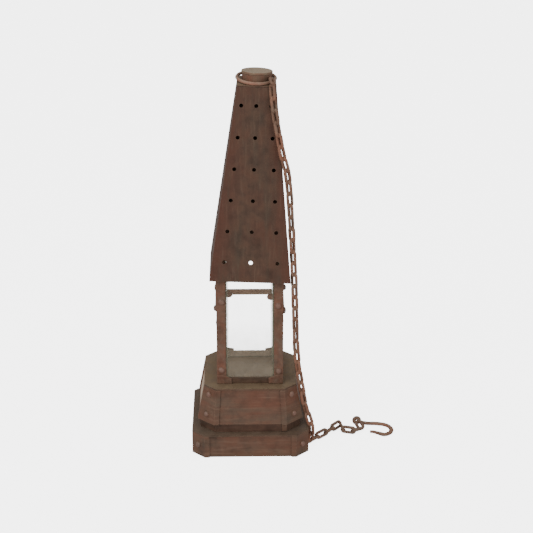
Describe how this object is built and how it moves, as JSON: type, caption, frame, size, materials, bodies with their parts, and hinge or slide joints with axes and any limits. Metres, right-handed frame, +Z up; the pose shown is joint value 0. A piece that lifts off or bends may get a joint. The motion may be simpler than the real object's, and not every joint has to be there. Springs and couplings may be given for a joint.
{
  "type": "hanging lantern",
  "caption": "Rusted sheet-iron hanging lantern: stepped chamfered base, glazed cage, tall pierced hood, carrying ring, chain and hook.",
  "frame": {"origin": "on the floor under the middle of the base", "axes": "+Z up, the open-topped glazed front towards -Y, +X to the right seen from the front"},
  "size_m": [0.3519, 0.2, 0.6541],
  "materials": {
    "base_sheet": "rusted reddish-brown sheet iron with darker grey-green patches, matt",
    "frame_iron": "heavily rusted angle and bar iron, crusty, matt",
    "hood_sheet": "rusted sheet iron with vertical streaks, brown at the edges and greyer in the middle",
    "weathered_top": "dusty, paler rusted plate, matt",
    "ring_iron": "worn rusted round wire, slightly polished on the outside",
    "chain_iron": "rusted wire links and forged hook, lighter on the worn crowns",
    "glass": "thin clear sheet glass, slightly green at its edges, dusty"
  },
  "bodies": {
    "base": {"plinth_front": "base_sheet", "plinth_right": "base_sheet", "plinth_back": "base_sheet", "plinth_left": "base_sheet", "plinth_corner_front_right": "base_sheet", "plinth_corner_back_right": "base_sheet", "plinth_corner_back_left": "base_sheet", "plinth_corner_front_left": "base_sheet", "plinth_ledge": "weathered_top", "base_plate": "base_sheet", "riser_front": "base_sheet", "riser_right": "base_sheet", "riser_back": "base_sheet", "riser_left": "base_sheet", "seam_tab": "base_sheet", "pedestal_front": "base_sheet", "pedestal_right": "base_sheet", "pedestal_back": "base_sheet", "pedestal_left": "base_sheet", "pedestal_corner_front_right": "base_sheet", "pedestal_corner_back_right": "base_sheet", "pedestal_corner_back_left": "base_sheet", "pedestal_corner_front_left": "base_sheet", "deck": "weathered_top", "post_front_left": "frame_iron", "post_front_right": "frame_iron", "post_back_left": "frame_iron", "post_back_right": "frame_iron", "sill_front": "frame_iron", "sill_right": "frame_iron", "sill_back": "frame_iron", "sill_left": "frame_iron", "crossbar_right": "frame_iron", "crossbar_back": "frame_iron", "crossbar_left": "frame_iron", "pane_right": "glass", "pane_back": "glass", "pane_left": "glass", "gusset_front_left": "frame_iron", "gusset_front_right": "frame_iron", "gusset_back_left": "frame_iron", "gusset_back_right": "frame_iron", "hood_front": "hood_sheet", "hood_right": "hood_sheet", "hood_back": "hood_sheet", "hood_left": "hood_sheet", "hood_top": "weathered_top", "hood_seat_front_right": "frame_iron", "hood_seat_back_right": "frame_iron", "hood_seat_back_left": "frame_iron", "hood_seat_front_left": "frame_iron", "chimney_collar": "hood_sheet", "chimney_cap": "weathered_top", "ring_lug": "frame_iron", "chain": "chain_iron"},
    "front_pane": {"pane_front": "glass"},
    "left_clip": {"clip_left": "frame_iron"},
    "right_clip": {"clip_right": "frame_iron"},
    "ring": {"carrying_ring": "ring_iron"},
    "hook": {"hook": "chain_iron"}
  },
  "joints": [
    {"name": "pane_lift", "type": "slide", "parent": "base", "child": "front_pane", "axis": [0, 0, 1], "range_m": [0, 0.075]},
    {"name": "left_clip_turn", "type": "hinge", "parent": "base", "child": "left_clip", "pos_m": [-0.0476, -0.0517, 0.2812], "axis": [0, -1, 0], "range_deg": [0, 85]},
    {"name": "right_clip_turn", "type": "hinge", "parent": "base", "child": "right_clip", "pos_m": [0.0476, -0.0517, 0.2746], "axis": [0, -1, 0], "range_deg": [-85, 0]},
    {"name": "ring_rock", "type": "hinge", "parent": "base", "child": "ring", "pos_m": [0.01229, 0.0314, 0.64269], "axis": [-0.9992, 0, 0.0393], "range_deg": [0, 15]},
    {"name": "hook_swing", "type": "hinge", "parent": "base", "child": "hook", "pos_m": [0.1902, 0.02, 0.0076], "axis": [0, 0, 1], "range_deg": [-20, 30]}
  ]
}
